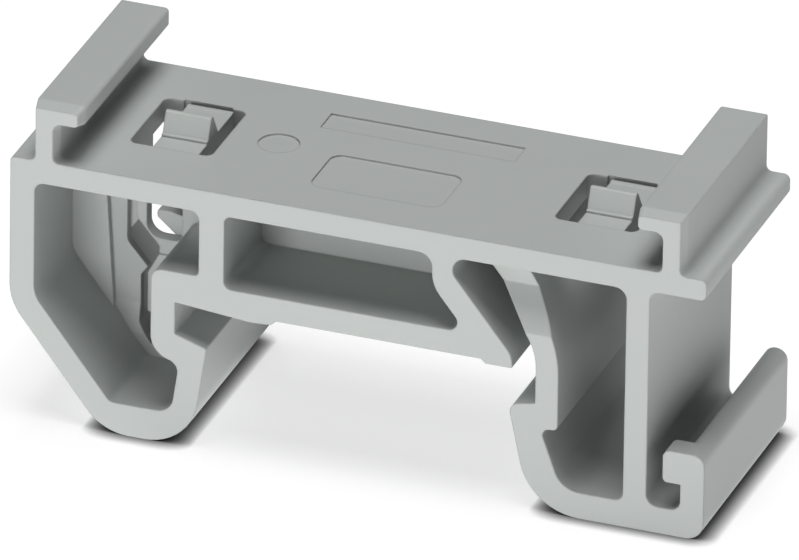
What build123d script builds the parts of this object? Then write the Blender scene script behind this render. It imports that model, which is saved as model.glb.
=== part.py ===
from build123d import *
from math import atan2, cos, degrees, radians, sin, tan
import os

# Adapter that snaps onto a 15 mm top-hat rail and carries a module in a channel on its top.
# It is one moulding. Its section is the same all along the depth, apart from a thin web inside
# two of its cells, the two snap tongues in its top plate and the ends of its hooks and lip.
# Places along X are counted from the outer face of the left wall, heights from the floor.

# The top-hat rail
rail_width = 15.0
rail_height = 5.5
rail_metal = 1.0
rail_base_width = 10.5

# How the rail sits in the adapter
rail_nip = 0.25            # the relaxed spring arm stands this far inside the rail's edge
rail_lift = 0.43           # the rail's base above the floor
pad_nip = 0.05             # how far the relaxed pads press into the rail's top
tip_nip = 0.02             # the strut's tip stands this far above it
beam_clearance = 0.19      # between the beam and the rail's top

# Overall depth and height, and the walls
depth = 9.6
height = 13.6
wall = 1.0
beam_thickness = 1.0
plate_thickness = 0.95
web_thickness = 0.62

# Left foot, the fixed hook
foot_length = 6.8          # from the left wall's outer face to the slot's end
toe_height = 4.98
toe_run = 3.88
foot_round = 2.2
heel_run = 7.5             # where the heel's line meets the floor
heel_reach = 1.31          # the nose's tip past the slot's end
toe_wall = 1.05
column_wall = 0.98
nose_tip_height = 4.38
nose_rise = 0.42           # the nose's top falls this much from the slot's end to its tip
nose_thickness = 1.18
foot_floor = 1.34
shoulder_top = 7.47
divider_inset = 0.96       # from the slot's end to the wall between the two cells
divider_wall = 1.02
pad_low_reach = 3.10       # from the slot's end to the lowest point of the pad above the rail
pad_reach = 3.95

# Strut between the beam and the plate
strut_angle = 51.1
strut_thickness = 1.03
strut_run = 3.31           # from the strut's tip back to the face of its upright part
tip_gap = 0.96             # from the strut's tip to the spring arm
tip_height = 0.51
tip_pad = 1.09

# Right foot, the spring arm and its hook
arm_thickness = 0.92
arm_gap = 1.10             # across the slanting gap between the strut and the arm
arm_lean = 32.5            # of the arm's outer face at its root
arm_bend_height = 7.31
arm_inner_round = 2.6
arm_outer_round = 4.8
hook_reach = 1.11          # the hook's nose ahead of the arm's inner face
hook_top = 4.62
hook_fall = 0.20
hook_lean = 12.3
hook_round = 2.5
spring_floor = 1.10
pocket_height = 3.60
pocket_reach = 0.72
pocket_lean = 20.0
arm_notch_height = 7.57    # the arm is thinner in depth above this
arm_notch_rise = 1.58
arm_notch_depth = 1.0

# Right wall, the J-shaped channel beside it and the flange above it
right_bay = 2.71           # from the arm's outer face to the right wall
right_wall = 0.93
channel_width = 1.39
channel_floor = 1.11
channel_wall = 0.96
channel_height = 3.63
lip_reach = 0.73
lip_height = 1.37
lip_depth = 1.0
flange_gap = 0.07          # the flange ends this far short of the channel's outer face
flange_thickness = 0.88

# Hooks on the top plate that hold the module
hook_inset_left = 0.90
hook_inset_right = 1.04
top_hook_wall = 0.95
top_hook_reach = 1.02
top_hook_clear = 1.58      # under the hook's lip
top_hook_lip = 0.82
top_hook_foot = 0.25       # round between the hook and the plate
lead_in_length = 0.57      # the hook's front end tapers over this length
lead_in = 0.125

# Windows in the plate and the snap tongue in each
window_left = 3.80
window_pitch = 17.37
window_width = 3.38
window_front = 2.78        # from the front face
window_depth = 4.07
window_round = 0.32
relief_inset = 0.76
relief_width = 2.00
relief_depth = 0.12
tongue_inset = 0.96        # from the window's left edge
tongue_width = 1.88
tongue_thickness = 0.85
tongue_gap = 0.20          # at the tongue's free end
tongue_sink = 0.08         # the tongue lies this far below the plate's surface
tongue_lip = 0.26          # the last stretch of the tongue stands a little higher
tongue_lip_rise = 0.03
wedge_start = 1.06         # from the tongue's root
wedge_step = 0.11          # a low riser at the foot of the ramp
wedge_ledge = 0.12
wedge_ramp = 0.33
wedge_ridge = 0.16
wedge_back = 0.74
wedge_height = 0.83        # above the plate
wedge_round = 0.09

# Marking fields sunk into the plate
field_sink = 0.07
label_left = 11.48
label_front = 1.92
label_width = 5.36
label_depth = 2.88
label_round = 0.50
strip_left = 10.22
strip_front = 6.70
strip_width = 7.95
strip_depth = 1.26
ejector_x = 9.21
ejector_y = 4.83
ejector_diameter = 1.62

# Openings in the web of the left cell
web_head_clear = 1.40      # the web stops this far under the plate below a window
slit_inset = 2.65          # from the column's face
slit_width = 0.44
slit_bend = 6.10
slit_drop = 4.20           # from the bend to the slit's lower end
neck_reach = 0.86          # the web's tip inside the slit
neck_drop = 1.04
loop_inset = 0.32
loop_width = 1.46
loop_floor = 6.47
recess_top_x = 2.25
recess_low_x = 2.72
recess_sink = 0.27
recess_floor = 3.43        # below this height the recess runs out
recess_run_out = 1.20
shelf_height = 5.82        # right of the slit the web is thinner above this height
shelf_sink = 0.08
pad_thickness = 0.70
lug_reach = 1.55           # from the column's face
lug_top = 7.42
lug_thickness = 0.70

# Levels
rail_top = rail_lift + rail_height
pad_level = rail_top - pad_nip
tip_level = rail_top + tip_nip
beam_under = rail_top + beam_clearance
beam_top = beam_under + beam_thickness
top_hook_top = height
top_hook_under = top_hook_top - top_hook_lip
plate_top = top_hook_under - top_hook_clear
plate_under = plate_top - plate_thickness

# Places along X
column_left = foot_length - column_wall
divider_left = foot_length + divider_inset
divider_right = divider_left + divider_wall
arm_inner = foot_length + rail_width - rail_nip
arm_outer = arm_inner + arm_thickness
right_wall_inner = arm_outer + right_bay
right_wall_outer = right_wall_inner + right_wall
channel_outer = right_wall_outer + channel_width
length = channel_outer + channel_wall
strut_tip = arm_inner - tip_gap
strut_left = strut_tip - strut_run
flange_end = length - flange_gap

front = -depth / 2
back = depth / 2


def outline(corners):
    """Closed face on the XZ plane from corners given as (x, z, radius)."""
    points = [(x, z) for x, z, radius in corners]
    radii = [radius for x, z, radius in corners]
    path = FilletPolyline(*points, radius=radii, close=True)
    return Plane.XZ * make_face(path)


def slab(face, start, end):
    """The face on the XZ plane carried from one depth to another, both counted from the mid-plane."""
    return Pos(0, end, 0) * extrude(face, end - start)


def along(x, z, angle, distance):
    """A point some distance from (x, z), along a direction given in degrees from +X."""
    return x + distance * cos(radians(angle)), z + distance * sin(radians(angle))


def meet_height(point, angle, z):
    """X where the line through a point, at an angle from +X, reaches height z."""
    return point[0] + (z - point[1]) / tan(radians(angle))


def meet_place(point, angle, x):
    """Z where the line through a point, at an angle from +X, reaches place x."""
    return point[1] + (x - point[0]) * tan(radians(angle))


# Slanted lines that several outlines share
toe_angle = degrees(atan2(-toe_height, toe_run))
toe_inside = along(0, toe_height, toe_angle + 90, toe_wall)
nose_tip = (foot_length + heel_reach, nose_tip_height)
nose_angle = degrees(atan2(-nose_rise, heel_reach))
nose_inside = along(nose_tip[0], nose_tip[1], nose_angle - 90, nose_thickness)
heel_angle = degrees(atan2(nose_tip_height, nose_tip[0] - heel_run))
heel_inside = along(heel_run, 0, heel_angle + 90, wall)
strut_line_angle = 180 - strut_angle
strut_shoulder = (strut_tip, tip_level + tip_height)
strut_inside = along(strut_tip, strut_shoulder[1], strut_line_angle + 90, strut_thickness)
arm_line = along(strut_tip, strut_shoulder[1], strut_line_angle - 90, arm_gap)
arm_root_angle = 90 + arm_lean
hook_tip_x = arm_inner - hook_reach
hook_line_angle = 90 + hook_lean
pocket_angle = 90 + pocket_lean


def frame_outline():
    """Everything but the spring arm: left wall, left foot, beam, strut, plate, right wall and channel."""
    floor_end = (arm_outer + right_wall_inner) / 2
    return outline([
        (0, plate_top, 0.18),
        (0, toe_height, foot_round),
        (toe_run, 0, foot_round),
        (heel_run, 0, foot_round),
        (nose_tip[0], nose_tip[1], 0.06),
        (foot_length, nose_tip[1] + nose_rise, 0.08),
        (foot_length, beam_under + pad_nip, 0.05),
        (foot_length + pad_low_reach, pad_level, 0),
        (foot_length + pad_reach, rail_top, 0),
        (foot_length + pad_reach + beam_clearance, beam_under, 0),
        (strut_tip - tip_pad - beam_clearance, beam_under, 0),
        (strut_tip - tip_pad, tip_level, 0),
        (strut_tip, tip_level, 0.05),
        (strut_shoulder[0], strut_shoulder[1], 1.1),
        (meet_height(strut_shoulder, strut_line_angle, plate_under), plate_under, 0.53),
        (right_wall_inner, plate_under, 0.50),
        (right_wall_inner, spring_floor, 0.35),
        (floor_end, spring_floor, 0),
        (floor_end, 0, 0),
        (length, 0, 0.72),
        (length, channel_height, channel_wall / 2 - 0.01),
        (channel_outer, channel_height, channel_wall / 2 - 0.01),
        (channel_outer, channel_floor, 0.40),
        (right_wall_outer, channel_floor, 0.50),
        (right_wall_outer, plate_top - flange_thickness, 0.40),
        (flange_end, plate_top - flange_thickness, 0.25),
        (flange_end, plate_top, 0.25),
    ])


def left_cell_outline():
    """Inside of the left foot: it bends round the slot's end and down into the heel."""
    nose_corner_z = meet_place(nose_inside, nose_angle, column_left)
    heel_x = meet_height(heel_inside, heel_angle, meet_place(nose_inside, nose_angle, foot_length))
    return outline([
        (wall, plate_under, 0.40),
        (divider_left, plate_under, 0.40),
        (divider_left, shoulder_top, 0.20),
        (column_left, shoulder_top, 0.45),
        (column_left, nose_corner_z, 1.0),
        (heel_x, meet_place(nose_inside, nose_angle, heel_x), 0.48),
        (meet_height(heel_inside, heel_angle, foot_floor), foot_floor, 0.70),
        (meet_height(toe_inside, toe_angle, foot_floor), foot_floor, 0.35),
        (wall, meet_place(toe_inside, toe_angle, wall), 1.2),
    ])


def middle_cell_outline():
    """The long cell over the beam, with the strut's slope at its right end."""
    return outline([
        (divider_right, plate_under, 0.28),
        (strut_left, plate_under, 0.60),
        (strut_left, meet_place(strut_inside, strut_line_angle, strut_left), 1.5),
        (meet_height(strut_inside, strut_line_angle, beam_top), beam_top, 0.37),
        (divider_right, beam_top, 0.35),
    ])


def arm_outline():
    """The spring arm, from inside the plate down to its hook and across to the right wall."""
    inside_plate = plate_under + plate_thickness / 2
    bend = (arm_outer, arm_bend_height)
    floor_end = (arm_outer + right_wall_inner) / 2 + wall / 4
    hook_tip_z = hook_top - hook_fall
    pocket_x = arm_outer - pocket_reach
    hook_foot_x = meet_height((hook_tip_x, hook_tip_z), hook_line_angle, 0)
    pocket_foot_x = meet_height((pocket_x, pocket_height), pocket_angle, spring_floor)
    return outline([
        (meet_height(arm_line, strut_line_angle, inside_plate), inside_plate, 0),
        (arm_inner, meet_place(arm_line, strut_line_angle, arm_inner), arm_inner_round),
        (arm_inner, hook_top, 0.08),
        (hook_tip_x, hook_tip_z, 0.42),
        (hook_foot_x, 0, hook_round),
        (floor_end, 0, 0),
        (floor_end, spring_floor, 0),
        (pocket_foot_x, spring_floor, 1.1),
        (pocket_x, pocket_height, 0.28),
        (arm_outer, pocket_height, 0.20),
        (bend[0], bend[1], arm_outer_round),
        (meet_height(bend, arm_root_angle, inside_plate), inside_plate, 0),
    ])


def spring_arm():
    """The arm, made thinner in depth towards its root at the front and at the back."""
    arm = slab(arm_outline(), front, back)
    inner = front + arm_notch_depth
    top = plate_top
    notch = make_face(Polyline(
        (front, arm_notch_height),
        (inner, arm_notch_height + arm_notch_rise),
        (inner, top),
        (front - wall, top),
        (front - wall, arm_notch_height),
        close=True,
    ))
    cutter = Pos(strut_left, 0, 0) * extrude(Plane.YZ * notch, right_wall_inner - strut_left)
    return arm - cutter - mirror(cutter, Plane.XZ)


def top_hook_section(outer_x, inward, inset):
    """Section of a top hook standing in the plate, drawn smaller all round by the inset."""
    inner_x = outer_x + inward * (top_hook_wall - inset)
    tip_x = outer_x + inward * (top_hook_wall + top_hook_reach - inset)
    wall_x = outer_x + inward * inset
    root = plate_top - plate_thickness / 2
    flare = inward * (top_hook_foot + 0.05)
    return outline([
        (wall_x - flare, root, 0),
        (wall_x - flare, plate_top, 0),
        (wall_x, plate_top, top_hook_foot),
        (wall_x, top_hook_top - inset, 0.05),
        (tip_x, top_hook_top - inset, 0.16),
        (tip_x, top_hook_under + inset, 0.16),
        (inner_x, top_hook_under + inset, 0.35),
        (inner_x, plate_top, top_hook_foot),
        (inner_x + flare, plate_top, 0),
        (inner_x + flare, root, 0),
    ])


def top_hook(outer_x, inward):
    """One hook of the top channel, tapered at its front end. inward is +1 or -1."""
    section = top_hook_section(outer_x, inward, 0)
    small = top_hook_section(outer_x, inward, lead_in)
    straight = slab(section, front + lead_in_length, back)
    lead = loft([Pos(0, front + lead_in_length, 0) * section, Pos(0, front, 0) * small], ruled=True)
    return straight + lead


def channel_lip():
    """The short lip that turns inwards at the front of the J-shaped channel's outer wall."""
    face = outline([
        (channel_outer - lip_reach, channel_height - lip_height, 0.20),
        (channel_outer - lip_reach, channel_height, 0.30),
        (channel_outer + channel_wall / 2, channel_height, 0),
        (channel_outer + channel_wall / 2, channel_height - lip_height, 0),
    ])
    return slab(face, front, front + lip_depth)


def left_web():
    """Thin web in the left cell. A slit and a loop cut it free below the window's tongue."""
    web = slab(left_cell_outline(), -web_thickness, 0)
    head = plate_under + wall
    slit_left = column_left - slit_inset
    slit_right = slit_left + slit_width
    slit_floor = slit_bend - slit_drop
    slit_low_x = slit_left + 0.58
    neck_x = slit_left + neck_reach
    neck_z = slit_bend - neck_drop
    tail_x = neck_x + 0.10
    tail_end = neck_z - 1.80
    elbow_x = neck_x + 0.54
    loop_right = column_left - loop_inset
    loop_left = loop_right - loop_width
    slit = outline([
        (slit_left, head, 0),
        (slit_left, slit_bend - 0.06, 0.5),
        (neck_x, neck_z, 0.05),
        (slit_low_x, neck_z - 0.40, 0.15),
        (slit_low_x, neck_z - 2.40, 0.3),
        (slit_low_x + 0.52, slit_floor, 0),
        (column_left, slit_floor, 0),
        (column_left, tail_end - 0.10, 0),
        (tail_x, tail_end, 0.1),
        (tail_x, neck_z - 0.10, 0.1),
        (elbow_x, slit_bend - 0.31, 0.05),
        (elbow_x, slit_bend + 0.05, 0.1),
        (slit_right, slit_bend + 1.14, 0.5),
        (slit_right, head, 0),
    ])
    loop = outline([
        (loop_left, head, 0),
        (loop_left, loop_floor, 0.62),
        (loop_right, loop_floor, 0.30),
        (loop_right, head, 0),
    ])
    window_space = Pos(window_left, -depth / 2, plate_under - web_head_clear) * Box(
        window_width, depth, web_head_clear + wall, align=(Align.MIN, Align.MIN, Align.MIN)
    )
    web = web - slab(slit, -depth, depth) - slab(loop, -depth, depth)
    slit_middle = slit_left + slit_width / 2
    web = web - web_recess(slit_middle, neck_x + 0.05) - web_shelf(slit_middle)
    return web - window_space + web_pad(slit_left) + web_lug()


def web_recess(slit_x, neck_x):
    """The shallow recess left of the slit, from the plate down. Its lower end runs out."""
    top = plate_under + plate_thickness / 2
    run_out = recess_floor - recess_run_out
    drift = (recess_low_x - recess_top_x) / (top - recess_floor)
    face = make_face(Polyline(
        (recess_low_x + recess_run_out * drift, run_out),
        (recess_top_x, top),
        (slit_x, top),
        (slit_x, slit_bend + 0.40),
        (neck_x, slit_bend - neck_drop + 0.05),
        (neck_x, run_out),
        close=True,
    ))
    side = make_face(Polyline(
        (-web_thickness, run_out),
        (-web_thickness + recess_sink, recess_floor),
        (-web_thickness + recess_sink, top),
        (-web_thickness - wall, top),
        (-web_thickness - wall, run_out),
        close=True,
    ))
    return slab(Plane.XZ * face, -depth, depth) & extrude(Plane.YZ * side, length)


def web_shelf(slit_x):
    """What is taken off the front of the web right of the slit, down to a sharp shelf."""
    size = (divider_right - slit_x, wall, plate_top - shelf_height)
    place = Pos(slit_x, -web_thickness + shelf_sink, shelf_height)
    return place * Box(*size, align=(Align.MIN, Align.MAX, Align.MIN))


def web_pad(slit_left):
    """The moulding is thicker behind the web, as far as the window and above a slanting edge."""
    top = plate_top - plate_thickness / 2
    face = outline([
        (wall / 2, top, 0),
        (wall / 2, slit_bend + 0.25, 0),
        (slit_left, slit_bend + 0.25, 0.2),
        (window_left, slit_bend + 1.20, 0.1),
        (window_left, top, 0),
    ])
    return slab(face, 0, pad_thickness)


def web_lug():
    """A wedge-shaped lug behind the loop, joined to the column beside the rail slot."""
    lug_tip_x = column_left - lug_reach
    face = outline([
        (lug_tip_x, lug_top, 0.1),
        (lug_tip_x, lug_top - 0.30, 0.15),
        (column_left + wall / 2, lug_top - 2.05, 0),
        (column_left + wall / 2, lug_top - 0.35, 0),
        (lug_tip_x + 0.56, lug_top, 0.1),
    ])
    return slab(face, 0, lug_thickness)


def window_cut(left):
    """One window through the plate, its rear edge relieved behind the tongue's free end."""
    near = front + window_front
    low = plate_under - wall / 2
    tall = plate_thickness + wall
    corner = (Align.MIN, Align.MIN)
    hole = Rectangle(window_width, window_depth, align=corner)
    hole = fillet(hole.vertices(), window_round)
    relief = Rectangle(relief_width, window_depth / 2 + relief_depth, align=corner)
    cut = Pos(left, near, low) * hole
    notch = Pos(left + relief_inset, near + window_depth / 2, low) * relief
    return extrude(cut, tall) + extrude(notch, tall)


def snap_tongue(left):
    """The springy tongue rooted at the window's front edge, with the wedge that holds the module."""
    near = front + window_front
    far = near + window_depth + relief_depth - tongue_gap
    crease = near + wedge_start
    peak = crease + wedge_ledge + wedge_ramp
    level = plate_top - tongue_sink
    low = plate_top - tongue_thickness
    corners = [
        (near - wall / 4, low, 0),
        (near - wall / 4, level, 0),
        (crease, level, 0),
        (crease, level + wedge_step, 0.05),
        (crease + wedge_ledge, level + wedge_step, 0),
        (peak, plate_top + wedge_height, wedge_round),
        (peak + wedge_ridge, plate_top + wedge_height, wedge_round / 2),
        (peak + wedge_back, level, 0.08),
        (far - tongue_lip, level, 0),
        (far - tongue_lip + 2 * tongue_lip_rise, level + tongue_lip_rise, 0),
        (far, level + tongue_lip_rise, 0.02),
        (far, low, 0),
    ]
    points = [(y, z) for y, z, radius in corners]
    side = FilletPolyline(*points, radius=[radius for y, z, radius in corners], close=True)
    return Pos(left + tongue_inset, 0, 0) * extrude(Plane.YZ * make_face(side), tongue_width)


def marking_fields():
    """The sunk label field, the long strip and the round mark left by an ejector pin."""
    level = plate_top - field_sink
    label = Rectangle(label_width, label_depth, align=(Align.MIN, Align.MIN))
    label = Pos(label_left, front + label_front, level) * fillet(label.vertices(), label_round)
    strip = Pos(strip_left, front + strip_front, level) * Rectangle(
        strip_width, strip_depth, align=(Align.MIN, Align.MIN)
    )
    ejector = Pos(ejector_x, front + ejector_y, level) * Circle(ejector_diameter / 2)
    return extrude(label, wall) + extrude(strip, wall) + extrude(ejector, wall)


def adapter_body():
    """The whole moulding, with its length centred on the origin."""
    body = slab(frame_outline(), front, back)
    body -= slab(left_cell_outline(), -depth, depth)
    body -= slab(middle_cell_outline(), -depth, depth)
    body += slab(middle_cell_outline(), -web_thickness, 0)
    body += left_web()
    for left in (window_left, window_left + window_pitch):
        body -= window_cut(left)
        body += snap_tongue(left)
    body -= marking_fields()
    body += spring_arm()
    body += channel_lip()
    body += top_hook(hook_inset_left, 1)
    body += top_hook(length - hook_inset_right, -1)
    return Pos(-length / 2, 0, 0) * body


os.makedirs("parts", exist_ok=True)
adapter = adapter_body()
export_step(adapter, "parts/adapter_body.step")
print("solids", len(adapter.solids()), "volume", round(adapter.volume, 2), "mm3")
print("length", round(length, 2), "depth", depth, "height", round(top_hook_top, 2))
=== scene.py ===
# %% [markdown]
# # A rail adapter moulded in one piece
# The adapter clips onto a small metal rail and carries a module on its top plate. All of its
# walls, hooks and tongues come out of one mould, so the exact model is one body, and the work
# here is its finish, the light and the camera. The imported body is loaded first, and its box is
# kept so that the dressed model can be measured against it at the end.

# %% Load the body
import math

import bpy
import numpy as np
from mathutils import Matrix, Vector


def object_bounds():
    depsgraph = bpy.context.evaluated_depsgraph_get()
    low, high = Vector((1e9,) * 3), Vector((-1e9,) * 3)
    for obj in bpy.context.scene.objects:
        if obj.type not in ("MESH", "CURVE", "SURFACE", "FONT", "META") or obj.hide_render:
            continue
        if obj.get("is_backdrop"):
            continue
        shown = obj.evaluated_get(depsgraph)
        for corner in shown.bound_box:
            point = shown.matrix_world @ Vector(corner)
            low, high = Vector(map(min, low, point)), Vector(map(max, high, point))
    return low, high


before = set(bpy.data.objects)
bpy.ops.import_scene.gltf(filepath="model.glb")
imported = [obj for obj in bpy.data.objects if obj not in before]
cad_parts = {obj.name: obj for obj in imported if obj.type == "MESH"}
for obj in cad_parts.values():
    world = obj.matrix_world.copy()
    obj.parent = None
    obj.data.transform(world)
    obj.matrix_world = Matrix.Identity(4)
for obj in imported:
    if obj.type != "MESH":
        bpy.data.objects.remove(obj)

MM = 0.001
cad_box = [[float(v) for v in corner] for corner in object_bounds()]
print("box in mm", [[round(v / MM, 2) for v in corner] for corner in cad_box])

# %% [markdown]
# ## Directions
# The camera and the lamps all look at the object from somewhere. Each could be turned by hand,
# but an azimuth and an elevation say the same in one line, so one function turns them into the
# three axes that a camera or a lamp needs. Azimuth 0 is the front and 90 the right end.


# %% Axes from two angles
def camera_axes(azimuth, elevation, roll):
    """Right, up and backward unit vectors of a camera that looks down on the origin.

    Backward points from the origin to the camera. Right is level until the roll turns
    right and up about backward.
    """
    backward = np.array([
        math.sin(azimuth) * math.cos(elevation),
        -math.cos(azimuth) * math.cos(elevation),
        math.sin(elevation),
    ])
    level = np.array([math.cos(azimuth), math.sin(azimuth), 0.0])
    upward = np.cross(backward, level)
    right = math.cos(roll) * level + math.sin(roll) * upward
    return right, np.cross(backward, right), backward


def as_matrix(axes, place):
    """A 4 by 4 placement whose first three columns are the axes and whose last is the place."""
    placement = np.eye(4)
    placement[:3, :3] = np.array(axes).T
    placement[:3, 3] = place
    return Matrix(placement.tolist())


# %% [markdown]
# ## Camera
# Small parts are photographed with a long lens from far away, so that parallel edges stay
# parallel. The camera could be placed by hand, but on so long a lens its place is so sensitive
# that it's given by what it looks at, two angles, a small roll and a distance.

# %% Camera at the viewing angle
LOOK_AT = np.array([0.083, -0.213, 6.359]) * MM
AZIMUTH = math.radians(19.742)
ELEVATION = math.radians(27.315)
ROLL = math.radians(0.885)
DISTANCE = 962.22 * MM
FOCAL_PIXELS = 25000
PICTURE_WIDTH = 799
SENSOR = 36.0
NEAREST, FARTHEST = 100 * MM, 10000 * MM

right, up, backward = camera_axes(AZIMUTH, ELEVATION, ROLL)
place = LOOK_AT + DISTANCE * backward
lens = bpy.data.cameras.new("product_camera")
lens.sensor_width = SENSOR
lens.lens = FOCAL_PIXELS / PICTURE_WIDTH * SENSOR
lens.clip_start = NEAREST
lens.clip_end = FARTHEST
camera = bpy.data.objects.new("product_camera", lens)
camera.matrix_world = as_matrix((right, up, backward), place)
bpy.context.scene.collection.objects.link(camera)
bpy.context.scene.camera = camera
print("lens", round(lens.lens, 1), "mm, camera", np.round(place / MM, 1), "mm")

# %% [markdown]
# ## Shader expressions
# A material is easier to read as a formula than as a web of nodes. A small class wraps a socket,
# so that `tone * 0.02 + 0.98` adds its own Math nodes. One method makes every other node.


# %% Sockets as numbers
class Wire:
    """One output socket. Arithmetic on it adds Math nodes to its tree."""

    def __init__(self, tree, socket):
        self.tree = tree
        self.socket = socket

    def node(self, kind, settings=None, **values):
        """Adds a node, sets its settings first and then feeds or sets its input sockets.

        A socket goes by its name, with _ for a space, or by its number, as i0 or i1.
        """
        made = self.tree.nodes.new(kind)
        for name, value in (settings or {}).items():
            setattr(made, name, value)
        for name, value in values.items():
            numbered = name[0] == "i" and name[1:].isdigit()
            target = made.inputs[int(name[1:]) if numbered else name.replace("_", " ")]
            if isinstance(value, Wire):
                self.tree.links.new(value.socket, target)
            else:
                target.default_value = value
        return made

    def out(self, made, name=0):
        """The wire from one output of a node, by its number or name."""
        return Wire(self.tree, made.outputs[name])

    def math(self, operation, first, second=0.0):
        return self.out(self.node("ShaderNodeMath", {"operation": operation}, i0=first, i1=second))

    def __add__(self, other):
        return self.math("ADD", self, other)

    def __sub__(self, other):
        return self.math("SUBTRACT", self, other)

    def __mul__(self, other):
        return self.math("MULTIPLY", self, other)

    def __rsub__(self, other):
        return self.math("SUBTRACT", other, self)

    __radd__ = __add__
    __rmul__ = __mul__


# %% A new material
def new_material(name):
    """An empty material with its Principled shader, and a wire to start expressions from."""
    material = bpy.data.materials.new(name)
    material.use_nodes = True
    tree = material.node_tree
    tree.nodes.clear()
    output = tree.nodes.new("ShaderNodeOutputMaterial")
    shader = tree.nodes.new("ShaderNodeBsdfPrincipled")
    tree.links.new(shader.outputs[0], output.inputs["Surface"])
    place = tree.nodes.new("ShaderNodeTexCoord")
    return material, shader, Wire(tree, place.outputs["Object"])


def feed(wire, shader, name):
    """Links a wire to one input of the shader."""
    wire.tree.links.new(wire.socket, shader.inputs[name])


# %% [markdown]
# ## Moulded plastic
# The adapter is light grey polyamide. Its tone drifts very slightly where the melt flowed and
# cooled at different speeds, and the mould's spark-eroded steel leaves a fine, even grain that
# makes the surface satin. Both are noise on Object coordinates: a broad one for the tone and the
# gloss, and a fine one for the grain. A real moulding has no perfectly sharp edge either, so a
# Bevel node turns the normals over the last tenth of a millimetre of every edge.

# %% Flow and grain
FLOW_SIZE = 5.0 * MM
GRAIN_SIZE = 0.09 * MM

moulded, plastic, spot = new_material("light_grey_polyamide")
flow = spot.out(spot.node(
    "ShaderNodeTexNoise", {"noise_dimensions": "3D"},
    Vector=spot, Scale=1.0 / FLOW_SIZE, Detail=3.0, Roughness=0.55, Distortion=0.6,
))
grain = spot.out(spot.node(
    "ShaderNodeTexNoise", {"noise_dimensions": "3D"},
    Vector=spot, Scale=1.0 / GRAIN_SIZE, Detail=2.0, Roughness=0.6,
))
print("noise cells per mm: flow", round(MM / FLOW_SIZE, 2), "grain", round(MM / GRAIN_SIZE, 1))

# %% Light grey polyamide
PLASTIC = (0.418, 0.441, 0.430, 1.0)
PLASTIC_PALE = (0.440, 0.463, 0.452, 1.0)
FLOW_IN_TONE = 0.8
SATIN = 0.40
FLOW_IN_SATIN, GRAIN_IN_SATIN = 0.10, 0.08
EDGE_ROUND = 0.12 * MM
GRAIN_HEIGHT = 0.004 * MM
GRAIN_SHOWN = 0.25
POLYAMIDE_IOR = 1.5

tone = spot.node(
    "ShaderNodeMix", {"data_type": "RGBA"},
    i0=flow * FLOW_IN_TONE + grain * (1.0 - FLOW_IN_TONE), i6=PLASTIC, i7=PLASTIC_PALE,
)
feed(spot.out(tone, 2), plastic, "Base Color")
feed(flow * FLOW_IN_SATIN + grain * GRAIN_IN_SATIN + SATIN, plastic, "Roughness")
rounded = spot.out(spot.node("ShaderNodeBevel", {"samples": 6}, Radius=EDGE_ROUND))
bump = spot.node(
    "ShaderNodeBump",
    Strength=GRAIN_SHOWN, Distance=GRAIN_HEIGHT, Height=grain, Normal=rounded,
)
feed(spot.out(bump), plastic, "Normal")
plastic.inputs["IOR"].default_value = POLYAMIDE_IOR
print("polyamide nodes", len(spot.tree.nodes))

# %% [markdown]
# ## Dress the body
# The whole moulding has one material. The exact model could be copied and reworked here, but it
# already has every wall and notch, so its own mesh is left as it is and only gets the plastic.

# %% Dress the body
for name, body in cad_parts.items():
    body.data.materials.clear()
    body.data.materials.append(moulded)
    print(name, len(body.data.polygons), "triangles")

# %% [markdown]
# ## Lamps
# The set is a light table: the object stands on a glowing white sheet, which lights its upright
# faces from below and leaves every upward face inside a cell dark. One big lamp overhead would
# fill the cells too. So two soft lamps overhead light the plate, a low, flat one reaches the web
# deep in the cells, and a weak one lights the right end.

# %% Lamps
LAMP_DISTANCE = 300 * MM
# Name, azimuth and elevation in degrees, width and height in mm, level.
LAMPS = (
    ("low_lamp", -10, 2, (120, 36), 0.42),
    ("rear_top_lamp", 165, 80, (200, 200), 0.48),
    ("front_top_lamp", 0, 82, (120, 120), 0.44),
    ("side_lamp", 95, 8, (160, 60), 0.10),
)


def soft_lamp(name, azimuth, elevation, size, level):
    """A rectangular lamp aimed at the object. Level 1 lights a facing surface to its own colour.

    A small facing surface at distance d gets power / (pi d^2), and sends back its colour
    times that over pi, so the power is level times pi squared times d squared.
    """
    light = bpy.data.lights.new(name, "AREA")
    light.shape = "RECTANGLE"
    light.size, light.size_y = size[0] * MM, size[1] * MM
    light.energy = level * (math.pi * LAMP_DISTANCE) ** 2
    lamp = bpy.data.objects.new(name, light)
    axes = camera_axes(math.radians(azimuth), math.radians(elevation), 0.0)
    lamp.matrix_world = as_matrix(axes, LOOK_AT + LAMP_DISTANCE * axes[2])
    bpy.context.scene.collection.objects.link(lamp)
    print(name, round(light.energy, 3), "W")


for lamp_values in LAMPS:
    soft_lamp(*lamp_values)

# %% [markdown]
# ## White room
# Behind the sheet is a white room. A white world would do it, but it would also light the
# object from all around and flatten it. So the room is white to the camera and to anything seen
# through glass, and only a trace of it lights the object.

# %% White room
WHITE = (1.0, 1.0, 1.0, 1.0)
ROOM_LIGHT = 0.03

world = bpy.data.worlds.new("white_room")
bpy.context.scene.world = world
world.use_nodes = True
tree = world.node_tree
tree.nodes.clear()
output = tree.nodes.new("ShaderNodeOutputWorld")
backdrop = tree.nodes.new("ShaderNodeBackground")
tree.links.new(backdrop.outputs[0], output.inputs["Surface"])
path = tree.nodes.new("ShaderNodeLightPath")
seen = Wire(tree, path.outputs["Is Camera Ray"])
through = Wire(tree, path.outputs["Is Transmission Ray"])
strength = seen.math("MAXIMUM", seen, through) * (1.0 - ROOM_LIGHT) + ROOM_LIGHT
feed(strength, backdrop, "Strength")
backdrop.inputs["Color"].default_value = WHITE
print("room lights the object at", ROOM_LIGHT, "of the white that the camera sees")

# %% [markdown]
# ## White sheet
# The sheet is one big square under the feet.

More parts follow.
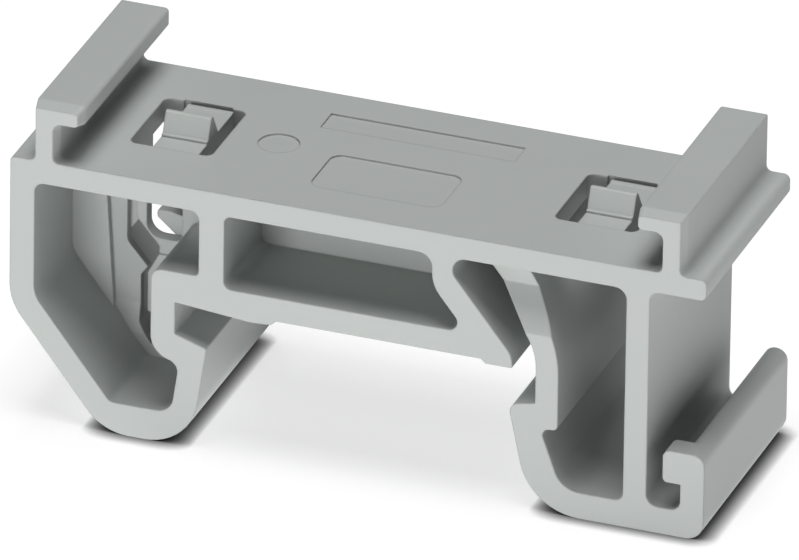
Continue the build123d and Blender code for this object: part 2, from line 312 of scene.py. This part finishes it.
# %% White sheet
TABLE_SIZE = 1200 * MM

corners = np.array([[-1, -1, 0], [1, -1, 0], [1, 1, 0], [-1, 1, 0]]) * TABLE_SIZE / 2
sheet = bpy.data.meshes.new("light_table")
sheet.from_pydata(corners.tolist(), [], [(0, 1, 2, 3)])
table = bpy.data.objects.new("light_table", sheet)
bpy.context.scene.collection.objects.link(table)
table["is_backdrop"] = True

glowing, matte, floor_spot = new_material("white_sheet")
matte.inputs["Roughness"].default_value = 1.0
matte.inputs["Specular IOR Level"].default_value = 0.0
matte.inputs["Emission Strength"].default_value = 1.0
sheet.materials.append(glowing)
print("sheet", round(TABLE_SIZE / MM), "mm square")

# %% [markdown]
# ## The sheet's glow
# An even glow would light all upright faces alike. So the sheet has a broad glow in front and
# five narrow ones, one for each face that should be bright. One of the five is in front as well,
# which makes the face nearest to the camera the brightest. Five broad ones would fill the cells.

# %% The sheet's glow
FRONT_GLOW = 0.70
FRONT_AZIMUTH = -14
# It fades in from 6 mm behind the middle to 12 mm in front of it.
FRONT_RAMP = (-6 * MM, 12 * MM)
# Azimuth in degrees and level of each narrow glow.
NARROW_GLOWS = ((-80, 0.82), (-15, 0.71), (45, 0.68), (105, 0.93), (180, 0.75))
# Cosine of the angle from its middle at which a narrow glow has faded out.
GLOW_EDGE = 0.75


def along(wire, azimuth, low, high):
    """How far a wire's vector points towards an azimuth, smoothed from 0 at low to 1 at high."""
    turn = math.radians(azimuth)
    axis = (math.sin(turn), -math.cos(turn), 0.0)
    dot = wire.node("ShaderNodeVectorMath", {"operation": "DOT_PRODUCT"}, i0=wire, i1=axis)
    return wire.out(wire.node(
        "ShaderNodeMapRange", {"interpolation_type": "SMOOTHSTEP"},
        Value=wire.out(dot, 1), From_Min=low, From_Max=high,
    ))


heading = floor_spot.out(floor_spot.node(
    "ShaderNodeVectorMath", {"operation": "NORMALIZE"}, i0=floor_spot,
))
glow = along(floor_spot, FRONT_AZIMUTH, *FRONT_RAMP) * FRONT_GLOW
for azimuth, level in NARROW_GLOWS:
    glow = glow + along(heading, azimuth, GLOW_EDGE, 1.0) * level
print("a broad glow in front and", len(NARROW_GLOWS), "narrow ones")

# %% [markdown]
# ## What the camera sees of the sheet
# The camera sees an even white sheet instead of the glow. It shows the lamps' soft shadow and a
# narrow painted shadow where the object touches it. Broad lamps would wash that shadow out, so it
# is painted into the glow and the colour that the camera sees, from how much of the sky each spot
# of the sheet sees within a millimetre, which a power then makes darker. To the object, the sheet
# is its glow and a dark grey.

# %% What the camera sees of the sheet
SEEN_GLOW = 0.64
SEEN_WHITE = 0.47
UNSEEN_GREY = (0.15, 0.15, 0.15, 1.0)
# Reach and power of the painted contact shadow on the sheet.
PAINTED_SHADOW_REACH = 0.75 * MM
PAINTED_SHADOW_POWER = 2.6

ray = floor_spot.tree.nodes.new("ShaderNodeLightPath")
by_camera = Wire(floor_spot.tree, ray.outputs["Is Camera Ray"])
# Painted contact shadow: the sheet's share of open sky within the reach, darkened by the power.
contact_occlusion = floor_spot.out(floor_spot.node(
    "ShaderNodeAmbientOcclusion", {"samples": 16}, Distance=PAINTED_SHADOW_REACH,
), "AO")
painted_contact_shadow = contact_occlusion.math("POWER", contact_occlusion, PAINTED_SHADOW_POWER)


def grey(wire):
    """The grey whose three channels are the wire's value."""
    return wire.out(wire.node("ShaderNodeCombineXYZ", X=wire, Y=wire, Z=wire))


def show(name, to_object, to_camera):
    """Feeds one colour of the sheet, which the object and the camera see differently."""
    shown = by_camera.node(
        "ShaderNodeMix", {"data_type": "RGBA"}, i0=by_camera, i6=to_object, i7=to_camera,
    )
    feed(by_camera.out(shown, 2), matte, name)


# The camera sees the painted contact shadow in the sheet's glow and in its colour.
show("Emission Color", grey(glow), grey(painted_contact_shadow * SEEN_GLOW))
show("Base Color", UNSEEN_GREY, grey(painted_contact_shadow * SEEN_WHITE))
print("sheet nodes", len(floor_spot.tree.nodes))

# %% [markdown]
# ## Finish
# The view is left plain, so that colours render as they are written. The sizes of the exact body
# and of the dressed model are compared, and the largest difference is printed, to see that the
# dressing changed none of them.

# %% Finish
bpy.context.scene.view_settings.view_transform = "Standard"
dressed_box = [[float(v) for v in corner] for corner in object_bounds()]
growth = np.abs(np.array(dressed_box) - np.array(cad_box)).max()
print("dressing moved the box by", round(float(growth) / MM, 4), "mm")
